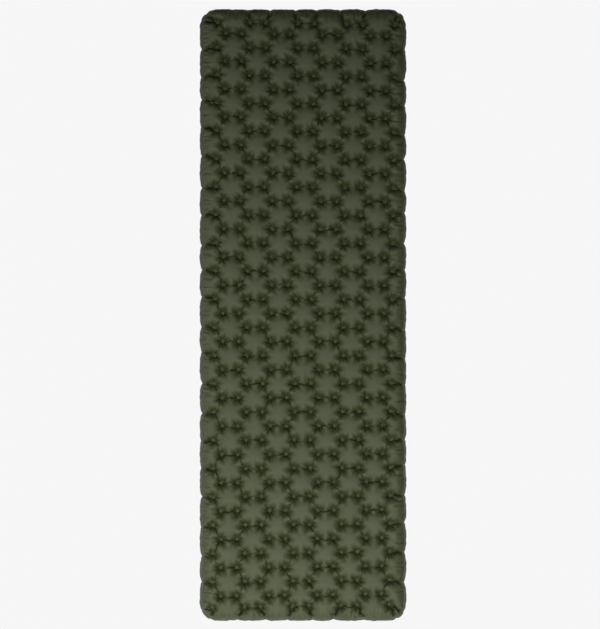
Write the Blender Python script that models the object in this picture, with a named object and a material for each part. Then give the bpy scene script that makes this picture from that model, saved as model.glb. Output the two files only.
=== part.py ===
"""Inflated camping air mattress: two skins spot-welded on a honeycomb, and a flat valve.

The length lies along Y with the head end at +Y, the width along X, and the floor is z = 0.
Both skins are thin sheets that meet at the weld dots and at the edge seam, with air between.
The valve sits under the head end, in a cell that it holds clear of the floor.
"""

import math

import bmesh
import bpy
from mathutils import Vector
from mathutils.geometry import delaunay_2d_cdt

# Mattress, in metres
LENGTH = 1.900
WIDTH = 0.640
THICKNESS = 0.070
CORNER_RADIUS = 0.052
SKIN = 0.0004
GAP = 0.0003

# Weld dots, on a honeycomb of columns and rows of cells; the outermost rows are drawn in
COLUMNS = 7
ROWS = 21
SIDE_MARGIN = 0.045
END_MARGIN = 0.046
END_DRAW = 0.0095
EDGE_FULLNESS = 0.88
NOOK_FULLNESS = 0.55

# Edge seam
SEAM_WIDTH = 0.008
SEAM_THICKNESS = 0.0009
SCALLOP = 0.004

# Flats on which the mattress stands
STAND_CELLS = [(3, 10)] + [(column, row) for column in (1, 5) for row in (2, 18)]
STAND_RADIUS = 0.018
STAND_CORNERS = 3

# Valve: radii and heights along its own axis, which points out of the underside
VALVE_CELL = (0, 20)
FLOOR_CLEARANCE = 0.0008
SEGMENTS = 32
SMALL_SEGMENTS = 16
HOLE_CORNERS = 8
PORT_RADIUS = 0.016
BASE_WALL = 0.0036
BASE_REACH = 0.004
BASE_DEPTH = 0.004
BASE_LIP = 0.001
FLANGE_RADIUS = 0.030
FLANGE_THICKNESS = 0.001
FLANGE_MARGIN = 0.0015
FLANGE_CORNERS = 6
TETHER_WIDTH = 0.0028
TETHER_HEIGHT = 0.0022

# Deflation plug with its seal, spider and one-way flap
PLUG_CLEARANCE = 0.0004
PLUG_TAPER = 0.001
PLUG_DEPTH = 0.0055
PLUG_SKIRT = 0.0017
PLUG_TOP = 0.001
SEAL_WIRE = 0.0009
PLUG_WALL = 0.0054
MOUTH_CHAMFER = 0.0008
SEAT_WIDTH = 0.001
SPIDER_THICKNESS = 0.0013
SPOKE_WIDTH = 0.0022
HUB_RADIUS = 0.0034
STEM_RADIUS = 0.0014
STEM_CLEARANCE = 0.0004
FLAP_OVERLAP = 0.0028
FLAP_THICKNESS = 0.0008
FLAP_TRAVEL = 0.0025
BUTTON_RADIUS = 0.0026
BUTTON_HEIGHT = 0.0014

# Inflation cap with its seal
CAP_STEP = 0.0037
CAP_THICKNESS = 0.0017
CAP_DEPTH = 0.0052
CAP_WALL = 0.0016
CAP_CLEARANCE = 0.0004
CAP_TAPER = 0.0005
CAP_DISH = 0.0006
DISH_SHARE = 0.65
CAP_WIRE = 0.0006

# Hinges and finger tabs of the plug and of the cap
PIN_RADIUS = 0.0007
EYE_WALL = 0.0006
HINGE_WIDTH = 0.010
LUG_WIDTH = 0.0016
HINGE_REACH = 0.0034
TAB_LENGTH = 0.006
TAB_WIDTH = 0.012
TAB_ROUNDING = 0.004
TAB_THICKNESS = 0.0014
JOIN = 0.0004
SMOOTH_BELOW = math.radians(35)

# Colours: fabric, valve mouldings, cap, flap and seals
OLIVE = (0.078, 0.088, 0.048)
OLIVE_SEAM = (0.090, 0.100, 0.058)
CHARCOAL = (0.035, 0.036, 0.034)
GREY = (0.10, 0.105, 0.095)
CLEAR_GREY = (0.36, 0.37, 0.35)
ORANGE = (0.42, 0.11, 0.02)

# Derived lattice and levels of the skins
EDGE_DOT = WIDTH / 2 - SIDE_MARGIN
WELD_SPACING = EDGE_DOT / (0.75 * (COLUMNS - 1) + 1)
COLUMN_PITCH = 1.5 * WELD_SPACING
ROW_PITCH = (LENGTH - 2 * END_MARGIN + 2 * END_DRAW) / ROWS
SKIN_INSET = SEAM_WIDTH + SCALLOP
WELD_LEVEL = THICKNESS / 2
CROWN = THICKNESS / 2 - GAP / 2 - SKIN

# Derived stations of the valve, outwards from the outer face of the skin
BASE_RADIUS = PORT_RADIUS + BASE_WALL
HOLE_CORNER = (BASE_RADIUS + GAP) / math.cos(math.pi / HOLE_CORNERS)
FLANGE_CORNER = (FLANGE_RADIUS + FLANGE_MARGIN) / math.cos(math.pi / FLANGE_CORNERS)
LIP_RADIUS = BASE_RADIUS + BASE_LIP
FLANGE_TOP = -SKIN - GAP
TETHER_LOW = GAP
TETHER_TOP = TETHER_LOW + TETHER_HEIGHT
LIP_LOW = TETHER_TOP + GAP
SEAL_LEVEL = BASE_REACH + GAP + SEAL_WIRE
SEAL_RADIUS = PORT_RADIUS - PLUG_CLEARANCE + GAP + SEAL_WIRE
SKIRT_LOW = BASE_REACH + GAP
RECESS_TOP = SEAL_LEVEL + SEAL_WIRE + GAP
RECESS_RADIUS = SEAL_RADIUS + SEAL_WIRE + GAP
PLUG_RADIUS = RECESS_RADIUS + PLUG_SKIRT
PLUG_FACE = RECESS_TOP + PLUG_TOP
SPIGOT_LOW = BASE_REACH - PLUG_DEPTH
MOUTH_RADIUS = PORT_RADIUS - PLUG_WALL
MOUTH_STRAIGHT = PLUG_FACE - 1.5 * MOUTH_CHAMFER
SEAT_RADIUS = MOUTH_RADIUS - SEAT_WIDTH
SPIDER_TOP = SPIGOT_LOW + GAP + SPIDER_THICKNESS
FLAP_TOP = SPIGOT_LOW - GAP
BUTTON_LOW = SPIDER_TOP + FLAP_TRAVEL + GAP
EYE_RADIUS = PIN_RADIUS + GAP + EYE_WALL
CAP_RADIUS = PLUG_RADIUS - CAP_STEP
CAP_LOW = PLUG_FACE + GAP
CAP_FACE = CAP_LOW + CAP_THICKNESS
CAP_SPIGOT = MOUTH_RADIUS - CAP_CLEARANCE
PLUG_PIN = Vector((0, -(PLUG_RADIUS + EYE_RADIUS + HINGE_REACH), BASE_REACH - EYE_RADIUS / 2))
CAP_PIN = Vector((0, CAP_RADIUS + EYE_RADIUS + GAP, PLUG_FACE + GAP + EYE_RADIUS))
VALVE_RISE = CAP_PIN.z + EYE_RADIUS + FLOOR_CLEARANCE

# Names of the shapes that build up or cut a piece, each with the piece it belongs to
HELPERS = {}


def weld_row(i):
    """Y of a weld row of the odd columns; the outermost rows are drawn in towards the middle."""
    inner = min(max(i, 1), ROWS - 1)
    return (inner - ROWS / 2) * ROW_PITCH + (i - inner) * (ROW_PITCH - END_DRAW)


def mid_row(j):
    """Y of a weld row of the even columns."""
    return (j + 0.5 - ROWS / 2) * ROW_PITCH


def column_x(k):
    return (k - (COLUMNS - 1) / 2) * COLUMN_PITCH


def edge_distance(along, half_along, half_across, radius):
    """How far a rounded rectangle reaches from its middle line, at a station along that line."""
    over = abs(along) - (half_along - radius)
    if over <= 0:
        return half_across
    return half_across - radius + math.sqrt(max(radius**2 - over**2, 0))


def outline(kind, station, sign, inset):
    """A point of the outline, moved inwards: on a long side, on an end, or in a corner."""
    half_x = WIDTH / 2 - inset
    half_y = LENGTH / 2 - inset
    radius = CORNER_RADIUS - inset
    if kind == "side":
        return sign * edge_distance(station, half_y, half_x, radius), station
    if kind == "end":
        return station, sign * edge_distance(station, half_x, half_y, radius)
    bend = radius * (1 - math.sqrt(0.5))
    return station * (half_x - bend), sign * (half_y - bend)


def seam_stations():
    """The outline in order from the angle -pi: (kind, station, sign) where a crease meets it."""
    end_dots = [-EDGE_DOT, EDGE_DOT]
    for k in range(1, COLUMNS, 2):
        end_dots += [column_x(k) - WELD_SPACING / 2, column_x(k) + WELD_SPACING / 2]
    found = [("side", weld_row(i), side) for i in range(ROWS + 1) for side in (-1, 1)]
    found += [("end", x, end) for x in end_dots for end in (-1, 1)]
    found += [("corner", side, end) for side in (-1, 1) for end in (-1, 1)]

    def angle(station):
        x, y = outline(*station, 0)
        return math.atan2(y, x)

    return sorted(found, key=angle)


class Quilt:
    """Plan of one skin: its points with heights above the weld plane, creases and ridges."""

    def __init__(self, underside):
        self.underside = underside
        self.points = []
        self.heights = []
        self.edges = []
        self.cells = {}
        self.lay_edge()
        self.lay_welds()
        self.lay_cells()
        if not underside:
            self.lay_nooks()
        self.lay_ridges()

    def add(self, x, y, height=0.0):
        self.points.append(Vector((x, y)))
        self.heights.append(height)
        return len(self.points) - 1

    def ring(self, x, y, radius, count, height, turn=math.pi / 6):
        step = 2 * math.pi / count
        ends = [(math.cos(turn + n * step), math.sin(turn + n * step)) for n in range(count)]
        made = [self.add(x + radius * c, y + radius * s, height) for c, s in ends]
        self.edges += list(zip(made, made[1:] + made[:1]))
        return made

    def lay_edge(self):
        stations = seam_stations()
        loop = [self.add(*outline(*station, SKIN_INSET + GAP)) for station in stations]
        self.edge = dict(zip(stations, loop))
        self.edges += list(zip(loop, loop[1:] + loop[:1]))

    def lay_welds(self):
        """A crease joins the two dots of each pair, and runs from the outer dots to the edge."""
        for k in range(COLUMNS):
            rows = [weld_row(i) for i in range(ROWS + 1)] if k % 2 else map(mid_row, range(ROWS))
            for y in rows:
                left = self.add(column_x(k) - WELD_SPACING / 2, y)
                right = self.add(column_x(k) + WELD_SPACING / 2, y)
                self.edges.append((left, right))
        for i in range(ROWS + 1):
            for side in (-1, 1):
                dot = self.add(side * EDGE_DOT, weld_row(i))
                self.edges.append((dot, self.edge["side", weld_row(i), side]))
        for (kind, x, end), point in self.edge.items():
            if kind == "end":
                self.edges.append((self.nearest(x, end * weld_row(ROWS)), point))

    def nearest(self, x, y):
        goal = Vector((x, y))
        return min(range(len(self.points)), key=lambda n: (self.points[n] - goal).length)

    def crown(self, key, x, y, height):
        if self.underside and key == VALVE_CELL:
            level = WELD_LEVEL - GAP / 2 - SKIN - VALVE_RISE
            self.ring(x, y, HOLE_CORNER, HOLE_CORNERS, level)
            self.cells[key] = self.ring(x, y, FLANGE_CORNER, FLANGE_CORNERS, level, turn=0)
        elif self.underside and key in STAND_CELLS:
            self.cells[key] = self.ring(x, y, STAND_RADIUS, STAND_CORNERS, height)
        else:
            self.cells[key] = [self.add(x, y, height)]

    def lay_cells(self):
        side_x = (EDGE_DOT + WIDTH / 2 - SKIN_INSET) / 2
        end_y = (mid_row(ROWS - 1) + LENGTH / 2 - SKIN_INSET) / 2
        for k in range(-1, COLUMNS + 1):
            if k % 2:
                at_side = k in (-1, COLUMNS)
                x = math.copysign(side_x, k) if at_side else column_x(k)
                for j in range(ROWS):
                    y = (weld_row(j) + weld_row(j + 1)) / 2
                    self.crown((k, j), x, y, CROWN * (EDGE_FULLNESS if at_side else 1))
                continue
            for i in range(1, ROWS):
                self.crown((k, i), column_x(k), weld_row(i), CROWN)
            for i, end in ((0, -1), (ROWS, 1)):
                self.crown((k, i), column_x(k), end * end_y, CROWN * EDGE_FULLNESS)

    def lay_nooks(self):
        """Small swellings at the ends and corners, between the outermost dots and the edge."""
        nook_y = (weld_row(ROWS) + LENGTH / 2 - SKIN_INSET) / 2
        for end in (-1, 1):
            for k in range(1, COLUMNS, 2):
                self.add(column_x(k), end * nook_y, CROWN * NOOK_FULLNESS)
            for side in (-1, 1):
                corner = Vector(outline("corner", side, end, SKIN_INSET))
                middle = (corner + Vector((side * EDGE_DOT, end * weld_row(ROWS)))) / 2
                self.add(*middle, CROWN * NOOK_FULLNESS)

    def lay_ridges(self):
        """Air passes between cells that lie slantwise, so a ridge joins their crowns."""
        for k in range(0, COLUMNS, 2):
            for i in range(ROWS + 1):
                for other in ((k - 1, i - 1), (k + 1, i - 1), (k - 1, i), (k + 1, i)):
                    ends = [(a, b) for a in self.cells[k, i] for b in self.cells.get(other, [])]
                    if ends:
                        self.edges.append(min(ends, key=self.span))

    def span(self, ends):
        return (self.points[ends[0]] - self.points[ends[1]]).length

    def triangles(self):
        """Points (x, y, height) and triangles; the hole for the valve is left open."""
        plan, _, faces, origins, _, _ = delaunay_2d_cdt(self.points, self.edges, [], 0, 1e-6)
        points = [(p.x, p.y, self.heights[origin[0]]) for p, origin in zip(plan, origins)]
        if self.underside:
            centre = valve_centre().xy
            faces = [f for f in faces if not self.in_hole([plan[n] for n in f], centre)]
        return points, faces

    def in_hole(self, corners, centre):
        return all((corner - centre).length < HOLE_CORNER + GAP for corner in corners)


def valve_centre():
    column, row = VALVE_CELL
    return Vector((column_x(column), weld_row(row), VALVE_RISE))


def material(name, colour, roughness, metallic=0.0):
    made = bpy.data.materials.new(name)
    made.use_nodes = True
    shader = made.node_tree.nodes["Principled BSDF"]
    shader.inputs["Base Color"].default_value = (*colour, 1.0)
    shader.inputs["Roughness"].default_value = roughness
    shader.inputs["Metallic"].default_value = metallic
    made.diffuse_color = (*colour, 1.0)
    return made


def mesh_object(name, points, faces, smooth_angle=None):
    """A new object whose faces point outwards, smooth below the angle where one is given."""
    mesh = bpy.data.meshes.new(name)
    mesh.from_pydata([tuple(p) for p in points], [], faces)
    bm = bmesh.new()
    bm.from_mesh(mesh)
    bmesh.ops.recalc_face_normals(bm, faces=bm.faces)
    bm.to_mesh(mesh)
    bm.free()
    if smooth_angle:
        mesh.polygons.foreach_set("use_smooth", [True] * len(mesh.polygons))
        mesh.set_sharp_from_angle(angle=smooth_angle)
    made = bpy.data.objects.new(name, mesh)
    bpy.context.collection.objects.link(made)
    return made


def skin(name, underside):
    """The quilt as a closed sheet of even thickness, above or below the weld plane."""
    plan, faces = Quilt(underside).triangles()
    way = -1 if underside else 1
    inner = [(x, y, WELD_LEVEL + way * (GAP / 2 + h)) for x, y, h in plan]
    outer = [(x, y, z + way * SKIN) for x, y, z in inner]
    count = len(plan)
    sides = {(a, b) for f in faces for a, b in zip(f, f[1:] + f[:1])}
    rims = [(a, b, b + count, a + count) for a, b in sides if (b, a) not in sides]
    rims.sort()
    back = [[n + count for n in reversed(f)] for f in faces]
    return mesh_object(name, inner + outer, [list(f) for f in faces] + back + rims)


def seam(name):
    """Flat band round both skins: it bulges between the creases that draw it in."""
    stations = seam_stations()
    inner = []
    outer = []
    for station, following in zip(stations, stations[1:] + stations[:1]):
        kind, along, sign = station
        inner.append(outline(*station, SKIN_INSET))
        outer.append([outline(*station, 0 if kind == "corner" else SCALLOP)])
        if kind == following[0] and sign == following[2]:
            outer[-1].append(outline(kind, (along + following[1]) / 2, sign, 0))
    loop = [p for group in outer for p in group]
    starts = [sum(map(len, outer[:n])) for n in range(len(outer))]
    levels = (WELD_LEVEL - SEAM_THICKNESS / 2, WELD_LEVEL + SEAM_THICKNESS / 2)
    flat = inner + loop
    points = [(x, y, z) for z in levels for x, y in flat]
    faces = []
    for n, group in enumerate(outer):
        after = (n + 1) % len(outer)
        rim = [len(inner) + starts[n] + m for m in range(len(group))] + [len(inner) + starts[after]]
        face = [n, *rim, after]
        top = len(flat)
        faces.append(face)
        faces.append([p + top for p in reversed(face)])
        faces.append((n, after, after + top, n + top))
        faces += [(b, a, a + top, b + top) for a, b in zip(rim, rim[1:])]
    return mesh_object(name, points, faces)


def lathe(name, profile, segments=SEGMENTS):
    """A closed profile of (radius, height) turned about Z; radius 0 lies on the axis."""
    points = []
    rings = []
    for radius, height in profile:
        count = segments if radius > 0 else 1
        turns = [2 * math.pi * (n + 0.5) / segments for n in range(count)]
        rings.append([len(points) + n for n in range(count)])
        points += [(radius * math.cos(t), radius * math.sin(t), height) for t in turns]
    faces = []
    for low, high in zip(rings, rings[1:] + rings[:1]):
        if len(low) == len(high) == 1:
            continue
        for n in range(segments):
            m = (n + 1) % segments
            corners = [low[n % len(low)], low[m % len(low)], high[m % len(high)], high[n % len(high)]]
            faces.append(list(dict.fromkeys(corners)))
    return mesh_object(name, points, faces, SMOOTH_BELOW)


def torus(name, radius, wire, level, around=28, section=8):
    turns = [2 * math.pi * n / section for n in range(section)]
    profile = [(radius + wire * math.cos(t), level + wire * math.sin(t)) for t in turns]
    return lathe(name, profile, around)


def block(name, low, high):
    """A box between two corners."""
    corners = [(x, y, z) for x in (low[0], high[0]) for y in (low[1], high[1]) for z in (low[2], high[2])]
    faces = [(0, 1, 3, 2), (4, 6, 7, 5), (0, 4, 5, 1), (2, 3, 7, 6), (0, 2, 6, 4), (1, 5, 7, 3)]
    return mesh_object(name, corners, faces)


def rod(name, centre, radius, x_low, x_high, segments=14):
    """A cylinder along X through a centre in the YZ plane."""
    turns = [2 * math.pi * n / segments for n in range(segments)]
    ring = [(centre.y + radius * math.cos(t), centre.z + radius * math.sin(t)) for t in turns]
    points = [(x, y, z) for x in (x_low, x_high) for y, z in ring]
    faces = [list(range(segments)), list(range(segments, 2 * segments))]
    for n in range(segments):
        m = (n + 1) % segments
        faces.append((n, m, m + segments, n + segments))
    return mesh_object(name, points, faces, SMOOTH_BELOW)


def strap(name, y_low, y_high, level, thickness):
    """A flat strap between a moulding and its hinge eye."""
    half = (HINGE_WIDTH - JOIN) / 2
    return block(name, (-half, y_low, level), (half, y_high, level + thickness))


def finger_tab(name, y_root, y_tip, level, thickness, steps=4):
    """A flat tab along Y with a rounded tip."""
    way = math.copysign(1, y_tip - y_root)
    half = TAB_WIDTH / 2
    turns = [math.pi / 2 * n / steps for n in range(steps + 1)]
    bend = [(math.cos(t), math.sin(t)) for t in turns]
    right = [(half - TAB_ROUNDING * (1 - c), y_tip - way * TAB_ROUNDING * (1 - s)) for c, s in bend]
    plan = [(half, y_root)] + right + [(-x, y) for x, y in reversed(right)] + [(-half, y_root)]
    count = len(plan)
    points = [(x, y, z) for z in (level, level + thickness) for x, y in plan]
    faces = [list(range(count)), list(range(count, 2 * count))]
    faces += [(n, (n + 1) % count, (n + 1) % count + count, n + count) for n in range(count)]
    return mesh_object(name, points, faces)


def combine(target, operation, helpers):
    for helper in helpers:
        helper.hide_render = True
        helper.display_type = "WIRE"
        change = target.modifiers.new(helper.name, "BOOLEAN")
        change.operation = operation
        change.solver = "EXACT"
        change.object = helper
        HELPERS[helper.name] = target.name
    return target


def hinge_lugs(name, pin):
    """Two lugs on either side of an eye, with the pin across them."""
    start = HINGE_WIDTH / 2 + GAP
    made = [rod(f"{name}_pin", pin, PIN_RADIUS, -start - LUG_WIDTH / 2, start + LUG_WIDTH / 2)]
    for side, label in ((-1, "left"), (1, "right")):
        low, high = sorted((side * start, side * (start + LUG_WIDTH)))
        made.append(rod(f"{name}_lug_{label}", pin, EYE_RADIUS, low, high))
    return made


def arms(name, y_low, y_high, z_low, z_high):
    """The blocks that carry two lugs, a little narrower than the lugs."""
    start = HINGE_WIDTH / 2 + GAP + JOIN / 2
    made = []
    for side, label in ((-1, "left"), (1, "right")):
        low, high = sorted((side * start, side * (start + LUG_WIDTH - JOIN)))
        made.append(block(f"{name}_arm_{label}", (low, y_low, z_low), (high, y_high, z_high)))
    return made


def valve_base():
    return lathe(
        "valve_base",
        [
            (PORT_RADIUS, -BASE_DEPTH),
            (BASE_RADIUS - BASE_LIP, -BASE_DEPTH),
            (BASE_RADIUS, FLANGE_TOP - FLANGE_THICKNESS),
            (FLANGE_RADIUS, FLANGE_TOP - FLANGE_THICKNESS),
            (FLANGE_RADIUS, FLANGE_TOP),
            (BASE_RADIUS, FLANGE_TOP),
            (BASE_RADIUS, LIP_LOW),
            (LIP_RADIUS, LIP_LOW),
            (LIP_RADIUS, BASE_REACH),
            (PORT_RADIUS, BASE_REACH),
        ],
    )


def plug_tether():
    """A ring held under the lip of the base, with two arms that carry the plug's pin."""
    inner = BASE_RADIUS + GAP
    outer = inner + TETHER_WIDTH
    profile = [(inner, TETHER_LOW), (outer, TETHER_LOW), (outer, TETHER_TOP), (inner, TETHER_TOP)]
    ring = lathe("plug_tether", profile)
    low = TETHER_LOW + JOIN
    helpers = arms("tether", PLUG_PIN.y, -inner - JOIN, low, TETHER_TOP - JOIN / 2)
    return combine(ring, "UNION", helpers + hinge_lugs("tether", PLUG_PIN))


def deflate_plug():
    """A tapered plug: mouth for the cap, spider for the flap, eye, finger tab and cap lugs."""
    spigot = PORT_RADIUS - PLUG_CLEARANCE
    plug = lathe(
        "deflate_plug",
        [
            (SEAT_RADIUS, SPIGOT_LOW),
            (spigot - PLUG_TAPER, SPIGOT_LOW),
            (spigot, RECESS_TOP),
            (RECESS_RADIUS, RECESS_TOP),
            (RECESS_RADIUS, SKIRT_LOW),
            (PLUG_RADIUS, SKIRT_LOW),
            (PLUG_RADIUS, PLUG_FACE - PLUG_TOP / 2),
            (PLUG_RADIUS - PLUG_TOP / 2, PLUG_FACE),
            (MOUTH_RADIUS + MOUTH_CHAMFER, PLUG_FACE),
            (MOUTH_RADIUS, MOUTH_STRAIGHT),
            (MOUTH_RADIUS, SPIDER_TOP + SEAT_WIDTH),
            (SEAT_RADIUS, SPIDER_TOP),
        ],
    )
    low = SPIGOT_LOW + GAP
    reach = SEAT_RADIUS + JOIN
    half = SPOKE_WIDTH / 2
    hub = [(0, low - GAP / 2), (HUB_RADIUS, low - GAP / 2)]
    hub += [(r, SPIDER_TOP - JOIN / 4) for r, _ in reversed(hub)]
    spider = [
        block("spoke_across", (-reach, -half, low), (reach, half, SPIDER_TOP - JOIN / 2)),
        block("spoke_along", (-half, -reach, low), (half, reach, SPIDER_TOP - JOIN / 2)),
        lathe("spider_hub", hub, SMALL_SEGMENTS),
    ]
    rim = RECESS_RADIUS + JOIN
    straps = [
        strap("plug_strap", PLUG_PIN.y, -rim, SKIRT_LOW + JOIN / 4, TAB_THICKNESS),
        rod("plug_eye", PLUG_PIN, EYE_RADIUS, -HINGE_WIDTH / 2, HINGE_WIDTH / 2),
        finger_tab("plug_tab", rim, PLUG_RADIUS + TAB_LENGTH, SKIRT_LOW + JOIN, TAB_THICKNESS),
    ]
    lug_y = CAP_PIN.y
    carriers = arms("cap", lug_y - EYE_RADIUS / 2, lug_y + EYE_RADIUS / 2, PLUG_FACE - JOIN, CAP_PIN.z)
    combine(plug, "UNION", spider + straps + carriers + hinge_lugs("cap", CAP_PIN))
    bore = [(0, low - JOIN), (STEM_RADIUS + STEM_CLEARANCE, low - JOIN)]
    bore += [(r, SPIDER_TOP + JOIN) for r, _ in reversed(bore)]
    cuts = [
        lathe("stem_bore", bore, SMALL_SEGMENTS),
        rod("plug_eye_bore", PLUG_PIN, PIN_RADIUS + GAP, -HINGE_WIDTH, HINGE_WIDTH),
    ]
    return combine(plug, "DIFFERENCE", cuts)


def check_flap():
    """A soft disc under the seat, its stem through the hub and a release button on the stem."""
    return lathe(
        "check_flap",
        [
            (0, FLAP_TOP - FLAP_THICKNESS),
            (SEAT_RADIUS + FLAP_OVERLAP, FLAP_TOP - FLAP_THICKNESS),
            (SEAT_RADIUS + FLAP_OVERLAP, FLAP_TOP - FLAP_THICKNESS / 2),
            (SEAT_RADIUS + FLAP_OVERLAP / 2, FLAP_TOP),
            (STEM_RADIUS, FLAP_TOP),
            (STEM_RADIUS, BUTTON_LOW),
            (BUTTON_RADIUS, BUTTON_LOW),
            (BUTTON_RADIUS, BUTTON_LOW + BUTTON_HEIGHT / 2),
            (BUTTON_RADIUS / 2, BUTTON_LOW + BUTTON_HEIGHT),
            (0, BUTTON_LOW + BUTTON_HEIGHT),
        ],
        24,
    )


def cap_groove():
    """Height of the cap's seal, half way down the straight part of the mouth."""
    return MOUTH_STRAIGHT - CAP_DEPTH / 4


def inflate_cap():
    """A dished lid with a hollow spigot that carries the seal, and an eye on the plug's pin."""
    level = cap_groove()
    groove = CAP_SPIGOT - 2 * CAP_WIRE
    end = CAP_LOW - CAP_DEPTH
    inner = CAP_SPIGOT - CAP_TAPER - CAP_WALL
    half = CAP_WIRE + GAP
    cap = lathe(
        "inflate_cap",
        [
            (0, CAP_LOW),
            (inner, CAP_LOW),
            (inner, end),
            (CAP_SPIGOT - CAP_TAPER, end),
            (CAP_SPIGOT, level - half - JOIN),
            (CAP_SPIGOT, level - half),
            (groove, level - half),
            (groove, level + half),
            (CAP_SPIGOT, level + half),
            (CAP_SPIGOT, CAP_LOW),
            (CAP_RADIUS, CAP_LOW),
            (CAP_RADIUS, CAP_FACE - CAP_DISH),
            (CAP_RADIUS - CAP_DISH, CAP_FACE),
            (CAP_RADIUS * DISH_SHARE + CAP_DISH, CAP_FACE),
            (CAP_RADIUS * DISH_SHARE, CAP_FACE - CAP_DISH),
            (0, CAP_FACE - CAP_DISH),
        ],
    )
    low = CAP_LOW + GAP / 2
    root = CAP_RADIUS - 2 * EYE_RADIUS
    straps = [
        strap("cap_strap", root, CAP_PIN.y, low, TAB_THICKNESS - JOIN),
        rod("cap_eye", CAP_PIN, EYE_RADIUS, -HINGE_WIDTH / 2, HINGE_WIDTH / 2),
        finger_tab("cap_tab", -root, -CAP_RADIUS - TAB_LENGTH, low, TAB_THICKNESS - JOIN),
    ]
    combine(cap, "UNION", straps)
    bore = rod("cap_eye_bore", CAP_PIN, PIN_RADIUS + GAP, -HINGE_WIDTH, HINGE_WIDTH)
    return combine(cap, "DIFFERENCE", [bore])


def axis_empty(name, parent, offset):
    made = bpy.data.objects.new(name, None)
    made.empty_display_size = 0.02
    bpy.context.collection.objects.link(made)
    made.parent = parent
    made.location = offset
    return made


def hang(obj, axis, station):
    """Sits a piece on the empty of its axis; its mesh keeps the valve's own coordinates."""
    for target in [obj] + [bpy.data.objects[h] for h, owner in HELPERS.items() if owner == obj.name]:
        target.parent = axis
        target.location = -station


for old in list(bpy.data.objects):
    bpy.data.objects.remove(old, do_unlink=True)

# Skins and seam
fabric_top = skin("top_skin", underside=False)
fabric_bottom = skin("bottom_skin", underside=True)
edge = seam("edge_seam")

# Valve, each moving piece on the empty of its joint axis
valve_axis = axis_empty("valve_axis", None, valve_centre())
valve_axis.rotation_euler = (math.pi, 0, 0)
plug_axis = axis_empty("plug_hinge_axis", valve_axis, PLUG_PIN)
flap_axis = axis_empty("flap_axis", plug_axis, -PLUG_PIN)
cap_axis = axis_empty("cap_hinge_axis", plug_axis, CAP_PIN - PLUG_PIN)
body = valve_base()
tether = plug_tether()
plug = deflate_plug()
plug_seal = torus("plug_seal", SEAL_RADIUS, SEAL_WIRE, SEAL_LEVEL)
flap = check_flap()
cap = inflate_cap()
cap_seal = torus("cap_seal", CAP_SPIGOT - CAP_WIRE + GAP / 2, CAP_WIRE, cap_groove())
hang(body, valve_axis, Vector())
hang(tether, valve_axis, Vector())
hang(plug, plug_axis, PLUG_PIN)
hang(plug_seal, plug_axis, PLUG_PIN)
hang(flap, flap_axis, Vector())
hang(cap, cap_axis, CAP_PIN)
hang(cap_seal, cap_axis, CAP_PIN)

# Materials
for piece, colour, roughness in (
    (fabric_top, OLIVE, 0.7),
    (fabric_bottom, OLIVE, 0.75),
    (edge, OLIVE_SEAM, 0.6),
    (body, CHARCOAL, 0.5),
    (tether, CHARCOAL, 0.45),
    (plug, GREY, 0.5),
    (plug_seal, ORANGE, 0.6),
    (flap, CLEAR_GREY, 0.35),
    (cap, CHARCOAL, 0.4),
    (cap_seal, ORANGE, 0.6),
):
    piece.data.materials.append(material(f"{piece.name}_material", colour, roughness))
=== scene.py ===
# %% [markdown]
# # An inflated camping mattress
# The real thing is two sheets of coated nylon, fused round the edge and spot-welded to each other
# on a honeycomb of small dots. Air between the sheets lifts every cell into a pillow, and the
# spare cloth gathers into creases and puckers round the dots. This lesson dresses the packed
# solids of that object: the sheets are cut flat, blown up by a cloth simulation, and finished.

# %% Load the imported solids
import math

import bpy
import numpy as np
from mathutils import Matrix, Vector
from mathutils.geometry import delaunay_2d_cdt
from mathutils.kdtree import KDTree


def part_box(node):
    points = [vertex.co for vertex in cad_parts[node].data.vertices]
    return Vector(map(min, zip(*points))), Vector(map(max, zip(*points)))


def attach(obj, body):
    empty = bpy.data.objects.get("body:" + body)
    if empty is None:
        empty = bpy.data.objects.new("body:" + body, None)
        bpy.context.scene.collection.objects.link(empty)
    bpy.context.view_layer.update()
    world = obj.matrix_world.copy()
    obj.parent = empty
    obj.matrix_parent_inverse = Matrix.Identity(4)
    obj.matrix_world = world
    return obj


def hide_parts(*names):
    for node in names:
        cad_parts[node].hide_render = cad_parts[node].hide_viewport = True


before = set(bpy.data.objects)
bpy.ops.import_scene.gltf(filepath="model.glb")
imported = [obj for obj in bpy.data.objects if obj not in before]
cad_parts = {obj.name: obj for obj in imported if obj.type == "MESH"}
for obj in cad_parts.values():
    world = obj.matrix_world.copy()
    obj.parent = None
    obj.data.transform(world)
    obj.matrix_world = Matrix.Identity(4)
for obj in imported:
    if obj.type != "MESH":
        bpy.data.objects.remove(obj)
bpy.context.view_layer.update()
seam_low, seam_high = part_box("edge_seam")
WIDTH = seam_high[0] - seam_low[0]
LENGTH = seam_high[1] - seam_low[1]
WELD_LEVEL = (seam_low[2] + seam_high[2]) / 2
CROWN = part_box("top_skin")[1][2] - WELD_LEVEL
print(f"mattress {LENGTH:.3f} x {WIDTH:.3f} m, crowns {CROWN * 1000:.1f} mm from the welds")

# %% [markdown]
# ## Where the welds are
# Everything on this object hangs on the weld pattern: the creases join dots, the pillows sit
# between dots, and the scallops of the edge lie between rows of dots. The dots are the corners
# of a honeycomb. They could be typed in as a list, but a honeycomb is a rule, so short functions
# give the columns and the rows, and loops do the rest. Cloth is never laid quite straight on the
# welder, so one more function leans, fans and shifts the rows by up to a dozen millimetres.

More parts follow.
